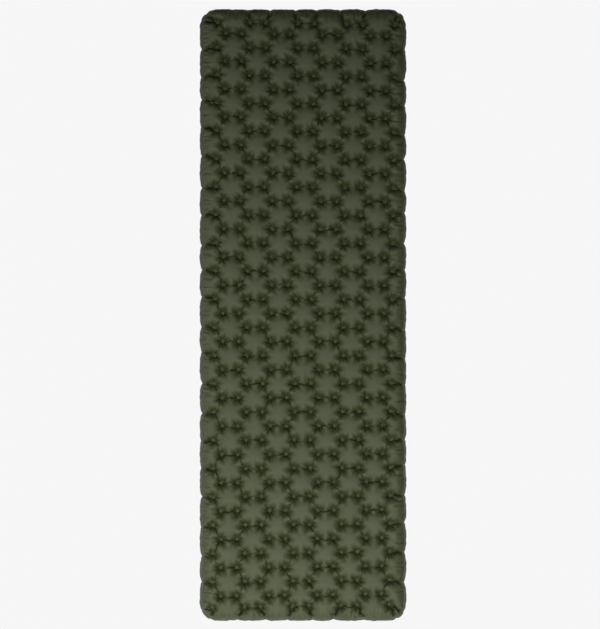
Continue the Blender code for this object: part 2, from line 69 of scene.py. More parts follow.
# %% Lay out the dots and the creases between them
COLUMNS = 7
ROWS = 21
SIDE_MARGIN = 0.045
END_MARGIN = 0.046
END_DRAW = 0.0095
COLUMN_PITCH = 1.5
NEIGHBOUR_REACH = 0.6
EDGE_DOT = WIDTH / 2 - SIDE_MARGIN
SPACING = EDGE_DOT / (COLUMN_PITCH * (COLUMNS - 1) / 2 + 1)
ROW_PITCH = (LENGTH - 2 * END_MARGIN + 2 * END_DRAW) / ROWS
ROW_DRIFT = 0.0056
DRIFT_SKEW = 0.6
LEAN, LEAN_START = 0.0095, -0.20
FAN, FAN_START = 0.018, -0.10


def column_x(k):
    """X of the middle of a column of pairs."""
    return (k - (COLUMNS - 1) / 2) * COLUMN_PITCH * SPACING


def weld_row(i):
    """Y of a row of the odd columns; the outermost rows are drawn in towards the middle."""
    inner = min(max(i, 1), ROWS - 1)
    return (inner - ROWS / 2) * ROW_PITCH + (i - inner) * (ROW_PITCH - END_DRAW)


def mid_row(j):
    """Y of a row of the even columns."""
    return (j + 0.5 - ROWS / 2) * ROW_PITCH


def laid(x, y):
    """Where a dot of the true honeycomb ends up on the cloth."""
    share = 2 * y / LENGTH
    drift = ROW_DRIFT * (1 - share**2) * (1 + DRIFT_SKEW * share)
    return x + LEAN * (y - LEAN_START), y + drift - FAN * x * (y - FAN_START)


def row_dots(row, odd):
    """The dots of one row, from left to right, and the pairs among them."""
    pairs = [(column_x(k) - SPACING / 2, column_x(k) + SPACING / 2) for k in range(odd, COLUMNS, 2)]
    singles = [-EDGE_DOT, EDGE_DOT] if odd else []
    xs = sorted(singles + [x for pair in pairs for x in pair])
    return [laid(x, row) for x in xs], [(laid(a, row), laid(b, row)) for a, b in pairs]


odd_rows = [row_dots(weld_row(i), 1) for i in range(ROWS + 1)]
even_rows = [row_dots(mid_row(j), 0) for j in range(ROWS)]
dots = np.array([dot for found, _ in odd_rows + even_rows for dot in found])
pair_creases = [pair for _, found in odd_rows + even_rows for pair in found]
slant_creases = []
for j, (even, _) in enumerate(even_rows):
    for odd, _ in (odd_rows[j], odd_rows[j + 1]):
        slant_creases += [(a, b) for a in odd for b in even
                          if abs(a[0] - b[0]) < NEIGHBOUR_REACH * SPACING]
print(len(dots), "dots,", len(pair_creases), "pairs,", len(slant_creases), "slanting neighbours")

# %% [markdown]
# ## The outline
# Seen from above the mattress is a rectangle with round corners. A curve object would draw it,
# but the next steps need to know which way is outwards at every point, so the outline is walked
# at an even step, straights and corners in turn, and each point keeps its direction.

# %% Walk round the edge
CORNER_RADIUS = 0.052
EDGE_STEP = 0.0026


def rounded_rectangle(step):
    """Points round the mattress, anticlockwise, with the directions that point outwards."""
    half_x, half_y = WIDTH / 2 - CORNER_RADIUS, LENGTH / 2 - CORNER_RADIUS
    corners = [(half_x, -half_y), (half_x, half_y), (-half_x, half_y), (-half_x, -half_y)]
    places, normals = [], []
    for n, corner in enumerate(corners):
        turns = np.arange(0, math.pi / 2, step / CORNER_RADIUS) + (n - 1) * math.pi / 2
        out = np.c_[np.cos(turns), np.sin(turns)]
        places.append(np.array(corner) + CORNER_RADIUS * out)
        normals.append(out)
        along = np.array(corners[(n + 1) % 4]) - corner
        count = int(np.linalg.norm(along) / step)
        share = np.arange(count)[:, None] / count
        straight = np.array([math.cos(n * math.pi / 2), math.sin(n * math.pi / 2)])
        places.append(np.array(corner) + CORNER_RADIUS * straight + share * along)
        normals.append(np.tile(straight, (count, 1)))
    return np.vstack(places), np.vstack(normals)


edge_places, edge_normals = rounded_rectangle(EDGE_STEP)
edge_run = np.arange(len(edge_places))
print(len(edge_places), "points round the edge")

# %% [markdown]
# ## Creases that reach the edge
# The outermost dots hold the cloth back, and a crease runs from each of them out to the edge. A
# long side has one for each row, an end has two for each pair, which splay a little, and each
# corner has two of its own.

# %% Aim a crease from each outer dot
CORNER_TURNS = (0.50, 1.05)
END_SPLAY = 1.5
side_ends, end_ends, corner_ends = [], [], []
for found, _ in odd_rows[1:-1]:
    side_ends += [(found[0], (-WIDTH / 2, found[0][1])), (found[-1], (WIDTH / 2, found[-1][1]))]
for end, found in ((-1, odd_rows[0][0]), (1, odd_rows[ROWS][0])):
    for left, right in zip(found[1:-1:2], found[2:-1:2]):
        middle, spread = (left[0] + right[0]) / 2, END_SPLAY * (right[0] - left[0]) / 2
        end_ends += [(left, (middle - spread, end * LENGTH / 2)),
                     (right, (middle + spread, end * LENGTH / 2))]
    for side, dot in ((-1, found[0]), (1, found[-1])):
        middle = side * (WIDTH / 2 - CORNER_RADIUS), end * (LENGTH / 2 - CORNER_RADIUS)
        for turn in CORNER_TURNS:
            goal = (middle[0] + side * CORNER_RADIUS * math.cos(turn),
                    middle[1] + end * CORNER_RADIUS * math.sin(turn))
            corner_ends.append((dot, goal))
print(len(side_ends), "side creases,", len(end_ends), "end creases,", len(corner_ends), "at corners")

# %% [markdown]
# ## Notches
# Where a crease meets the edge it draws a notch, deep and narrow, and between two notches the
# edge stands out in an almost straight stretch. Each scallop could have a curve of its own. With
# sixty of them it is shorter to work out how far along its scallop each point of the outline
# lies, and to take the right depth away. Chance moves the notches a little, so no two are alike.

# %% Draw the edge in at each crease
SEAM_WIDTH = 0.008
SIDE_NOTCH = 0.0134
END_NOTCH = 0.0086
CORNER_NOTCH = 0.0050
NOTCH_SHARE = (0.6, 1.35)
NOTCH_SHARPNESS = 0.22
NOTCH_STRAY = 0.010
RIPPLE = 0.0007
RIPPLE_WAVES = (61, 97, 173, 251)
BULGE = 0.0012
EDGE_SEED = 11
edge_chance = np.random.default_rng(EDGE_SEED)
notches = []
for found, deepest in ((side_ends, SIDE_NOTCH), (end_ends, END_NOTCH), (corner_ends, CORNER_NOTCH)):
    for dot, goal in found:
        strayed = np.array(goal) + edge_chance.uniform(-NOTCH_STRAY, NOTCH_STRAY, 2)
        nearest = int(np.argmin(np.hypot(*(edge_places - strayed).T)))
        notches.append((nearest, deepest * edge_chance.uniform(*NOTCH_SHARE), dot))
notches.sort(key=lambda notch: notch[0])
notch_runs = np.array([notch[0] for notch in notches])
notch_depths = np.array([notch[1] for notch in notches])
after = np.searchsorted(notch_runs, edge_run, side="right")
before_run = np.where(after > 0, notch_runs[after - 1], notch_runs[-1] - len(edge_run))
after_run = np.where(after < len(notch_runs), notch_runs[after % len(notch_runs)],
                     notch_runs[0] + len(edge_run))
between = (edge_run - before_run) / (after_run - before_run)
depth_here = (1 - between) * notch_depths[after - 1] + between * notch_depths[after % len(notches)]
scallop = depth_here * (1 - np.sin(math.pi * between) ** NOTCH_SHARPNESS) - BULGE
for waves in RIPPLE_WAVES:
    turn = edge_chance.uniform(0, 2 * math.pi)
    scallop += RIPPLE / 2 * np.sin(2 * math.pi * waves * edge_run / len(edge_run) + turn)
rim_loop = edge_places - edge_normals * (scallop + SEAM_WIDTH)[:, None]
edge_creases = [(dot, tuple(rim_loop[run])) for run, _, dot in notches]
print(len(notches), f"notches up to {scallop.max() * 1000:.1f} mm deep")

# %% [markdown]
# ## Finding what is near
# From here on, points are placed, raised and coloured by their distance from a dot, a crease or
# the rim. Comparing every point with every other would take minutes. A k-d tree sorts the places
# once and then finds the nearest one almost at once.

# %% Plant trees for the dots and the rim
def tree_of(places):
    """A k-d tree of flat places."""
    tree = KDTree(len(places))
    for n, (x, y) in enumerate(places):
        tree.insert((x, y, 0.0), n)
    tree.balance()
    return tree


def reach(tree, places):
    """How far each place is from the nearest point of a tree."""
    return np.array([tree.find((x, y, 0.0))[2] for x, y in places])


dot_tree = tree_of(dots)
rim_tree = tree_of(rim_loop)
print(f"the dots keep at least {reach(rim_tree, dots).min() * 1000:.0f} mm from the rim")

# %% [markdown]
# ## Lines for the creases
# A fold in cloth is never quite straight. Each crease becomes a line of points that sways to one
# side or the other and still starts and ends where it should.

# %% Draw every crease as a line of points
CREASE_WANDER = 0.003
CREASE_STEP = 0.0026
CREASE_BENDS = (0.6, 1.4)
LEAST_STEPS = 4


def crease_line(start, end, chance):
    """Points along one crease, which wanders a little from the straight line."""
    start, end = np.array(start), np.array(end)
    length = np.linalg.norm(end - start)
    along = (end - start) / length
    share = np.linspace(0, 1, max(int(length / CREASE_STEP), LEAST_STEPS) + 1)
    bends, turn = chance.uniform(*CREASE_BENDS), chance.uniform(0, 2 * math.pi)
    sway = CREASE_WANDER * np.sin(2 * math.pi * bends * share + turn) * np.sin(math.pi * share)
    across = np.array([-along[1], along[0]])
    return start + share[:, None] * (end - start) + sway[:, None] * across, across


def crease_lines(chance):
    """All the crease lines of one sheet, by kind."""
    kinds = {"pair": pair_creases, "slant": slant_creases, "edge": edge_creases}
    return {kind: [crease_line(start, end, chance) for start, end in found]
            for kind, found in kinds.items()}


print(len(pair_creases) + len(slant_creases) + len(edge_creases), "creases on each sheet")

# %% [markdown]
# ## Cutting the sheets
# A cloth simulation can only bend where the mesh has points, so the points go where the cloth
# is busy: rings round every dot, rows along every crease, rows beside the rim, and a wide grid
# on the calm tops of the pillows. A plain fine grid would also do, but it would need four times
# the points for the same puckers. The lower sheet, which lies on the ground, gets fewer points,
# and a hole with rings round it for the valve.

# %% Place the points of one sheet
DOT_RADIUS = 0.0054
CORE_SIDES = 8
DOT_SIDES = 20
FINE = {"rings": (0.0012, 0.0026, 0.0042, 0.0060, 0.0082, 0.0108), "around": 40,
        "rows": (0.0011, 0.0026, 0.0046), "grid": 0.0065,
        "rim": (0.0022, 0.0048, 0.0080, 0.0115, 0.0155, 0.0200, 0.0255, 0.0320)}
PLAIN = {"rings": (0.0018, 0.0040, 0.0066, 0.0100), "around": 22, "rows": (0.0026,), "grid": 0.0080,
         "rim": (0.0026, 0.0060, 0.0105, 0.0165)}
DOT_CLEAR = 1.05
RING_CLEAR = 0.0009
ROW_CLEAR = 0.0012
ROW_RIM_CLEAR = 0.0015
RIM_ROW_CLEAR = 0.0016
GRID_RING_CLEAR = 0.45
GRID_CLEAR = 0.5
VALVE_FLAT = 0.0325
VALVE_HOLE = 0.0200
VALVE_SIDES = 48
VALVE_RINGS = 5
valve_low, valve_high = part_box("valve_base")
valve_place = np.array([(valve_low[0] + valve_high[0]) / 2, (valve_low[1] + valve_high[1]) / 2])


def circle(centre, radius, count, turn=0.0):
    """Points on a circle; turn is in steps between two of them."""
    angles = 2 * math.pi * (np.arange(count) + turn) / count
    return np.array(centre) + radius * np.c_[np.cos(angles), np.sin(angles)]


def dot_points(detail):
    """The middle, the welded disc and the pit of every dot."""
    spread = []
    for dot in dots:
        spread.append(np.array([dot]))
        spread.append(circle(dot, DOT_RADIUS / 2, CORE_SIDES))
        spread.append(circle(dot, DOT_RADIUS, DOT_SIDES))
        for n, step in enumerate(detail["rings"]):
            spread.append(circle(dot, DOT_RADIUS + step, detail["around"], 0.5 * (n % 2)))
    return np.vstack(spread)


def grid_points(detail, crease_tree, ring_limit):
    """The wide grid that fills what the rings and the rows leave free."""
    grid = detail["grid"]
    rise = grid * math.sqrt(3) / 2
    ys = np.arange(-LENGTH / 2, LENGTH / 2, rise)
    xs = np.arange(-WIDTH / 2, WIDTH / 2, grid)
    field = np.array([(x + grid / 2 * (n % 2), y) for n, y in enumerate(ys) for x in xs])
    inner = detail["rim"][-1] + SEAM_WIDTH
    inside = (abs(field[:, 0]) < WIDTH / 2 - inner) & (abs(field[:, 1]) < LENGTH / 2 - inner)
    field = field[inside]
    field = field[reach(dot_tree, field) > ring_limit + GRID_RING_CLEAR * grid]
    field = field[reach(crease_tree, field) > detail["rows"][-1] + GRID_CLEAR * grid]
    return field[reach(rim_tree, field) > detail["rim"][-1] + GRID_CLEAR * grid]


def plan_sheet(detail, creases, underside):
    """Flat points of a sheet, and the lines of points that its triangles must follow."""
    points = [rim_loop]
    lines = [list(range(len(rim_loop))) + [0]]
    count = len(rim_loop)
    all_lines = [found for kind in creases for found in creases[kind]]
    for line, _ in all_lines:
        kept = line[reach(dot_tree, line) > DOT_RADIUS * DOT_CLEAR]
        kept = kept[reach(rim_tree, kept) > CREASE_STEP / 2]
        points.append(kept)
        lines.append(list(range(count, count + len(kept))))
        count += len(kept)
    crease_tree = tree_of(np.vstack(points[1:]))
    spread = dot_points(detail)
    points.append(spread[reach(crease_tree, spread) > RING_CLEAR])
    ring_limit = DOT_RADIUS + detail["rings"][-1]
    rows = np.vstack([line + side * step * across for line, across in all_lines
                      for step in detail["rows"] for side in (-1, 1)])
    rows = rows[reach(dot_tree, rows) > ring_limit + ROW_CLEAR]
    points.append(rows[reach(rim_tree, rows) > ROW_RIM_CLEAR])
    if underside:
        count = sum(map(len, points))
        lines.append(list(range(count, count + VALVE_SIDES)) + [count])
        for n, radius in enumerate(np.linspace(VALVE_HOLE, VALVE_FLAT, VALVE_RINGS)):
            points.append(circle(valve_place, radius, VALVE_SIDES, 0.5 * (n % 2)))
    beside = np.vstack([rim_loop - edge_normals * step for step in detail["rim"]])
    beside = beside[reach(dot_tree, beside) > ring_limit + ROW_CLEAR]
    points.append(beside[reach(crease_tree, beside) > RIM_ROW_CLEAR])
    field = grid_points(detail, crease_tree, ring_limit)
    if underside:
        from_valve = np.hypot(*(field - valve_place).T)
        field = field[from_valve > VALVE_FLAT + GRID_CLEAR * detail["grid"]]
    points.append(field)
    return np.vstack(points), lines


print(f"valve hole {VALVE_HOLE * 2000:.0f} mm wide at", valve_place.round(3))

# %% [markdown]
# ## Joining the points
# The plan is flat, so one constrained triangulation joins all its points into triangles. It keeps
# the lines it is given as edges, and says afterwards which edges came from them. Those are the
# creases and the rim.

# %% Triangulate a plan
FILL_INSIDE = 1
SAME_POINT = 1e-7


def join_sheet(points, lines):
    """Triangles over the flat points, and which of their edges lie in a line."""
    edges = [pair for line in lines for pair in zip(line, line[1:])]
    plan = [Vector(p) for p in points.tolist()]
    places, joins, faces, _, origins, _ = delaunay_2d_cdt(plan, edges, [], FILL_INSIDE, SAME_POINT)
    followed = [join for join, origin in zip(joins, origins) if origin]
    return np.array([tuple(p) for p in places]), [list(f) for f in faces], followed


square = np.array([(0.0, 0.0), (1.0, 0.0), (1.0, 1.0), (0.0, 1.0)])
print("a square joins to", len(join_sheet(square, [[0, 1, 2, 3, 0]])[1]), "triangles")

# %% [markdown]
# ## Creases, puckers and gathers
# Three kinds of folds are set out before the air does its work. A crease takes a share of the
# height away on its line, and less beside it. Round each dot the spare cloth stands in five to
# seven lobes. At the rim it is gathered into short folds, one every centimetre or so. All of them
# could be left to the simulation, but that would have to find a thousand folds by chance.

# %% Say how deep each fold is
CREASE_STRENGTH = (0.7, 1.3)
DEEPEST_CREASE = 0.85
LOBE_START = 0.0030
LOBE_REACH = 0.0110
LOBE_MIDDLE = LOBE_REACH * 0.8
LOBE_LIMIT = 0.028
LOBE_COUNTS = (5, 8)
LOBE_BEND = 0.25
LOBE_SECOND = 0.5
GATHER_GAP = 0.010
GATHER_DEPTH = (0.04, 0.20)
GATHER_WIDTH = (0.0017, 0.0034)
GATHER_REACH = (0.016, 0.042)
GATHER_START = 0.003


def crease_depth(places, found, size, chance):
    """Share of the height lost at the nearest crease: most on its line, less beside it."""
    deep, wide = size
    middle = np.vstack([line for line, _ in found])
    strength = np.concatenate([np.full(len(line), chance.uniform(*CREASE_STRENGTH))
                               for line, _ in found])
    tree = tree_of(middle)
    hits = [tree.find((x, y, 0.0)) for x, y in places]
    away = np.array([hit[2] for hit in hits])
    mine = strength[[hit[1] for hit in hits]]
    return np.clip(deep * mine * np.exp(-away / wide), 0, DEEPEST_CREASE)


def pucker_lobes(places, chance):
    """Small waves round each dot, with a count and a turn of their own."""
    lobes = np.zeros(len(places))
    for x, y in dots:
        close = (abs(places[:, 0] - x) < LOBE_LIMIT) & (abs(places[:, 1] - y) < LOBE_LIMIT)
        near = np.nonzero(close)[0]
        dx, dy = places[near, 0] - x, places[near, 1] - y
        away, turn = np.hypot(dx, dy), np.arctan2(dy, dx)
        count, start = int(chance.integers(*LOBE_COUNTS)), chance.uniform(0, 2 * math.pi)
        rise = np.clip(away - DOT_RADIUS, 0, None)
        fade = np.exp(-(((rise - LOBE_MIDDLE) / LOBE_REACH) ** 2))
        fade *= 1 - np.exp(-((rise / LOBE_START) ** 2))
        bent = turn + LOBE_BEND * np.sin(2 * turn + 3 * start)
        waves = np.cos(count * bent + start) + LOBE_SECOND * np.cos((count - 2) * turn + 2 * start)
        lobes[near] += fade * waves
    return lobes


def edge_gathers(places, from_rim, chance):
    """Share of the height lost in the short folds at the rim, each with a place of its own."""
    round_about = len(rim_loop) * EDGE_STEP
    near = np.nonzero(from_rim < GATHER_REACH[1])[0]
    run = np.array([rim_tree.find((x, y, 0.0))[1] for x, y in places[near]]) * EDGE_STEP
    depth = np.zeros(len(places))
    for start in np.arange(0, round_about, GATHER_GAP):
        at = start + chance.uniform(-0.5, 0.5) * GATHER_GAP
        deep = chance.uniform(*GATHER_DEPTH)
        wide = chance.uniform(*GATHER_WIDTH)
        long = chance.uniform(*GATHER_REACH)
        away = (run - at + round_about / 2) % round_about - round_about / 2
        fade = np.clip(1 - from_rim[near] / long, 0, 1)
        fade *= np.clip(from_rim[near] / GATHER_START, 0, 1)
        depth[near] += deep * np.exp(-((away / wide) ** 2)) * fade
    return depth


print("about", int(len(rim_loop) * EDGE_STEP / GATHER_GAP), "gathers round the rim")

# %% [markdown]
# ## The form before the air settles it
# It is quicker and steadier to start the simulation from a form that already has the right idea:
# level at the dots, steep beside them, drawn down along the creases and round at the rim. The
# folds at the edge are so tight that the cloth solver would smooth them out, so they are also
# kept as a share that is taken from the height once more when the air has settled.

# %% Raise the flat sheet into its first form
PIT_WIDTH = 0.0090
PIT_POWER = 1.5
RIM_LIP = 0.54
RIM_LIP_WIDTH = 0.0032
RIM_REACH = 0.036
FIRST_HEIGHT = 0.97
CROWN_SWELL = 0.05
CREASES = {"pair": (0.18, 0.0018), "slant": (0.16, 0.0015), "edge": (0.62, 0.0030)}
EDGE_FOLD = (0.76, 0.0030)
FOLD_START = 0.0055
LOBE_HEIGHT = 0.0026
LOBE_RIM_FADE = 0.01
GATHER_AGAIN = 1.8
WELD_GRIP = 1.03
ON_RIM = 1e-5
VALVE_GRIP = 1.01
VALVE_EASE = 0.010
SKIN_CLEARANCE = 0.0005
VALVE_SKIN_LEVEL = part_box("plug_tether")[1][2] + SKIN_CLEARANCE


def first_form(places, creases, chance, underside):
    """The height of every point over the weld plane, and what else the next steps ask about it."""
    from_dot, from_rim = reach(dot_tree, places), reach(rim_tree, places)
    rise = np.clip(from_dot - DOT_RADIUS, 0, None)
    height = FIRST_HEIGHT * (1 - np.exp(-((rise / PIT_WIDTH) ** PIT_POWER)))
    height += CROWN_SWELL * np.clip(from_dot / SPACING, 0, 1) ** 2
    for kind, size in CREASES.items():
        height *= 1 - crease_depth(places, creases[kind], size, chance)
    lip = RIM_LIP * (1 - np.exp(-from_rim / RIM_LIP_WIDTH))
    dome = (1 - RIM_LIP) * (1 - np.clip(1 - from_rim / RIM_REACH, 0, 1) ** 2)
    height *= CROWN * (lip + dome)
    gathers = edge_gathers(places, from_rim, chance)
    lobes = pucker_lobes(places, chance) * (1 - np.exp(-from_rim / LOBE_RIM_FADE))
    height = height * (1 - gathers) + LOBE_HEIGHT * lobes
    # the folds take height away after the air has settled, and also become the mask of painted shade in
    # the tight edge folds
    folds = crease_depth(places, creases["edge"], EDGE_FOLD, chance)
    folds *= 1 - np.exp(-((rise / FOLD_START) ** 2))
    held = (from_dot < DOT_RADIUS * WELD_GRIP) | (from_rim < ON_RIM)
    height[held] = 0
    if underside:
        from_valve = np.hypot(*(places - valve_place).T)
        level = WELD_LEVEL - VALVE_SKIN_LEVEL
        ease = np.clip((VALVE_FLAT + VALVE_EASE - from_valve) / VALVE_EASE, 0, 1)
        height = height + (level - height) * ease**2 * (3 - 2 * ease)
        held |= from_valve < VALVE_FLAT * VALVE_GRIP
    lobes[held] = 0
    return {"height": height, "held": held, "lobes": lobes, "folds": folds,
            "kept": (1 - folds) * (1 - GATHER_AGAIN * gathers),
            "from_dot": from_dot, "from_rim": from_rim}


print(f"the lower sheet is held {VALVE_SKIN_LEVEL * 1000:.1f} mm over the ground at the valve")

# %% [markdown]
# ## Letting the air in
# Blender's cloth solver gets the first form with the welds and the rim held still. The cloth is
# told that it was cut larger than the form (negative shrinking), most of all round the dots, and
# a steady pressure pushes it out. What doesn't fit buckles, which is how the real puckers come
# about. No gravity is needed: the pressure outweighs this light cloth many times over.

# %% Blow up a sheet
SETTLE_FRAMES = 9
PRESSURE = 130
SLACK_OVERALL = 0.02
SLACK_AT_DOTS = 0.23
SLACK_STEPS = 40
CLOTH = {"quality": 5, "mass": 0.003, "tension_stiffness": 15, "compression_stiffness": 6,
         "shear_stiffness": 5, "bending_stiffness": 0.003, "tension_damping": 5,
         "compression_damping": 5, "shear_damping": 5, "bending_damping": 0.5, "air_damping": 1,
         "vertex_group_mass": "held", "pin_stiffness": 1, "use_pressure": True,
         "uniform_pressure_force": PRESSURE, "vertex_group_shrink": "slack",
         "shrink_min": -SLACK_OVERALL, "shrink_max": -SLACK_AT_DOTS}


def weigh(piece, name, weights):
    """A vertex group of rounded weights."""
    group = piece.vertex_groups.new(name=name)
    rounded = np.round(weights * SLACK_STEPS).astype(int)
    for step in range(1, SLACK_STEPS + 1):
        group.add(np.nonzero(rounded == step)[0].tolist(), step / SLACK_STEPS, "REPLACE")


def blow_up(name, points, faces, held, slack):
    """The points of a sheet after the air has settled it."""
    mesh = bpy.data.meshes.new(name)
    mesh.from_pydata(points.tolist(), [], faces)
    sheet = bpy.data.objects.new(name, mesh)
    bpy.context.collection.objects.link(sheet)
    weigh(sheet, "held", held.astype(float))
    weigh(sheet, "slack", slack)
    cloth = sheet.modifiers.new("air", "CLOTH")
    for setting, value in CLOTH.items():
        setattr(cloth.settings, setting, value)
    cloth.settings.effector_weights.gravity = 0
    cloth.collision_settings.use_collision = False
    cloth.point_cache.frame_start = 1
    cloth.point_cache.frame_end = SETTLE_FRAMES
    for step in range(1, SETTLE_FRAMES + 1):
        bpy.context.scene.frame_set(step)
    settled = sheet.evaluated_get(bpy.context.evaluated_depsgraph_get())
    moved = np.empty(len(points) * 3, np.float32)
    settled.data.vertices.foreach_get("co", moved)
    bpy.data.objects.remove(sheet)
    bpy.data.meshes.remove(mesh)
    bpy.context.scene.frame_set(1)
    return moved.reshape(-1, 3).astype(float)


print("the air has", SETTLE_FRAMES, "frames to settle each sheet")

# %% [markdown]
# ## One sheet from start to end
# Now the steps follow one another: plan, triangles, first form, air. Afterwards the lobes are
# raised once more and the tight folds pressed in, because the solver has rounded both a little.

# %% Make a settled sheet
SLACK_REACH = 0.013
SLACK_AT_RIM = 0.55
LOBE_AGAIN = 0.0024
LEAST_HEIGHT = 0.0004
TALLEST_SHARE = 99.9


def make_sheet(name, detail, seed, underside):
    """A settled sheet over the weld plane, with its flat plan and its distances."""
    chance = np.random.default_rng(seed)
    creases = crease_lines(chance)
    plan, lines = plan_sheet(detail, creases, underside)
    places, faces, followed = join_sheet(plan, lines)
    if underside:
        middles = places[np.array(faces)].mean(axis=1)
        open_hole = np.hypot(*(middles - valve_place).T) < VALVE_HOLE
        faces = [face for face, gone in zip(faces, open_hole) if not gone]
    form = first_form(places, creases, chance, underside)
    near_dot = np.exp(-((np.clip(form["from_dot"] - DOT_RADIUS, 0, None) / SLACK_REACH) ** 2))
    near_rim = SLACK_AT_RIM * np.exp(-((form["from_rim"] / RIM_REACH) ** 2))
    points = np.c_[places, form["height"]]
    moved = blow_up(name, points, faces, form["held"], np.maximum(near_dot, near_rim))
    tallest = np.percentile(moved[:, 2], TALLEST_SHARE)
    print(f"{name}: {len(points)} points, {len(faces)} faces, settled {tallest * 1000:.1f} mm high")
    moved[:, 2] = (moved[:, 2] + LOBE_AGAIN * form["lobes"]) * form["kept"]
    free = ~form["held"]
    moved[free, 2] = np.maximum(moved[free, 2], LEAST_HEIGHT)
    return {"places": places, "faces": faces, "followed": followed, "settled": moved,
            "folds": form["folds"], "from_dot": form["from_dot"], "from_rim": form["from_rim"]}


upper = make_sheet("upper_sheet", FINE, seed=3, underside=False)
lower = make_sheet("lower_sheet", PLAIN, seed=5, underside=True)

# %% [markdown]
# ## From points to finished sheets
# The settled heights are fitted to the thickness that the solids have. The upper sheet keeps
# its round crowns, and the lower one is pressed flat where it lies on the ground. A fold in
# coated cloth is a sharp line, so the edges along the creases are marked sharp, and everything
# else is shaded smooth. The flat plan becomes a UV map, so that the weave follows the cloth, and
# two masks tell the material where the pits and the tight folds are.

# %% Finish the upper and the lower sheet
CROWN_SHARE = 97
PIT_SHADE = 0.009
GROUND_PRESS = 0.003
GROUND_SHARE = 99
GROUND_EASE = 0.015
TOUCHING = 1e-6


def mark_creases(mesh, followed, from_rim):
    """Marks the mesh edges that lie along a crease as sharp."""
    ends = np.empty(len(mesh.edges) * 2, np.int32)
    mesh.edges.foreach_get("vertices", ends)
    keys = {tuple(sorted(pair)): n for n, pair in enumerate(ends.reshape(-1, 2).tolist())}
    sharp = np.zeros(len(mesh.edges), bool)
    for a, b in followed:
        found = keys.get((min(a, b), max(a, b)))
        if found is not None and max(from_rim[a], from_rim[b]) > ON_RIM:
            sharp[found] = True
    layer = mesh.attributes.new("sharp_edge", "BOOLEAN", "EDGE")
    layer.data.foreach_set("value", sharp)


def sheet_object(name, made, points, flip):
    """A mesh object of a settled sheet, with its weave map, a mask of its pits and a mask of painted
    shade in its tight folds.
    """
    faces = [face[::-1] for face in made["faces"]] if flip else made["faces"]
    mesh = bpy.data.meshes.new(name)
    mesh.from_pydata(points.tolist(), [], faces)
    mesh.polygons.foreach_set("use_smooth", np.ones(len(mesh.polygons), bool))
    mark_creases(mesh, made["followed"], made["from_rim"])
    corners = np.empty(len(mesh.loops), np.int32)
    mesh.loops.foreach_get("vertex_index", corners)
    weave_map = mesh.uv_layers.new(name="cut")
    weave_map.data.foreach_set("uv", made["places"][corners].astype(np.float32).ravel())
    depth = np.exp(-((np.clip(made["from_dot"] - DOT_RADIUS, 0, None) / PIT_SHADE) ** 2))
    # the fold mask is painted shade: the material darkens the colour along the tight edge folds
    for label, share in (("pit", depth), ("fold_shade", made["folds"])):
        mask = mesh.attributes.new(label, "FLOAT", "POINT")
        mask.data.foreach_set("value", share.astype(np.float32))
    mesh.update()
    piece = bpy.data.objects.new(name, mesh)
    bpy.context.collection.objects.link(piece)
    return piece


upper_points = upper["settled"].copy()
upper_points[:, 2] *= CROWN / np.percentile(upper_points[:, 2], CROWN_SHARE)
upper_points[:, 2] += WELD_LEVEL
upper_sheet = sheet_object("upper_sheet", upper, upper_points, flip=False)

lower_points = lower["settled"].copy()
from_valve = np.hypot(*(lower["places"] - valve_place).T)
swell = (WELD_LEVEL + GROUND_PRESS) / np.percentile(lower_points[:, 2], GROUND_SHARE)
ease = np.clip((from_valve - VALVE_FLAT) / GROUND_EASE, 0, 1)
lower_points[:, 2] *= 1 + (swell - 1) * ease
lower_points[:, 2] = WELD_LEVEL - np.minimum(lower_points[:, 2], WELD_LEVEL)
lower_sheet = sheet_object("lower_sheet", lower, lower_points, flip=True)
flat_share = np.mean(lower_points[:, 2] < TOUCHING)
print(f"lower sheet lies on the ground with {flat_share:.0%} of its points")

# %% [markdown]
# ## Tools for growing pieces
# Two pieces follow a rule so simple that Geometry Nodes can grow them: the band along the edge
# and the marks on the dots. Three helpers keep their trees short. One starts a tree with named
# sizes, one places a node and links it in the same breath, and one runs a tree and keeps the
# result as a plain mesh, because instances and live modifiers would not survive an export.

# %% Write the helpers for node trees
def node_tree(name, sizes):
    """A Geometry Nodes tree with a geometry going in and out, and named sizes."""
    tree = bpy.data.node_groups.new(name, "GeometryNodeTree")
    tree.interface.new_socket("Geometry", in_out="INPUT", socket_type="NodeSocketGeometry")
    for label, value in sizes.items():
        kind = "NodeSocketInt" if isinstance(value, int) else "NodeSocketFloat"
        tree.interface.new_socket(label, in_out="INPUT", socket_type=kind).default_value = value
    tree.interface.new_socket("Material", in_out="INPUT", socket_type="NodeSocketMaterial")
    tree.interface.new_socket("Geometry", in_out="OUTPUT", socket_type="NodeSocketGeometry")
    return tree, tree.nodes.new("NodeGroupInput"), tree.nodes.new("NodeGroupOutput")


def place(tree, kind, **values):
    """A new node; values set properties and inputs by name, n0 is input 0, sockets are linked."""
    made = tree.nodes.new(kind)
    for label, value in values.items():
        if label in made.bl_rna.properties:
            setattr(made, label, value)
            continue
        by_number = label[0] == "n" and label[1:].isdigit()
        socket = made.inputs[int(label[1:])] if by_number else made.inputs[label]
        if isinstance(value, bpy.types.NodeSocket):
            tree.links.new(value, socket)
        else:
            socket.default_value = value
    return made


def grow(name, seed_mesh, tree, sizes, material):
    """Runs a tree on a mesh and keeps the result as a plain mesh object."""
    source = bpy.data.objects.new(name + "_source", seed_mesh)
    bpy.context.collection.objects.link(source)
    run = source.modifiers.new("grow", "NODES")
    run.node_group = tree
    for item in tree.interface.items_tree:
        if item.in_out == "INPUT" and item.name in sizes:
            run[item.identifier] = sizes[item.name]
        elif item.in_out == "INPUT" and item.name == "Material":
            run[item.identifier] = material
    evaluated = source.evaluated_get(bpy.context.evaluated_depsgraph_get())
    mesh = bpy.data.meshes.new_from_object(evaluated)
    mesh.name = name
    bpy.data.objects.remove(source)
    piece = bpy.data.objects.new(name, mesh)
    bpy.context.collection.objects.link(piece)
    print(f"{name}: {len(mesh.polygons)} faces")
    return piece


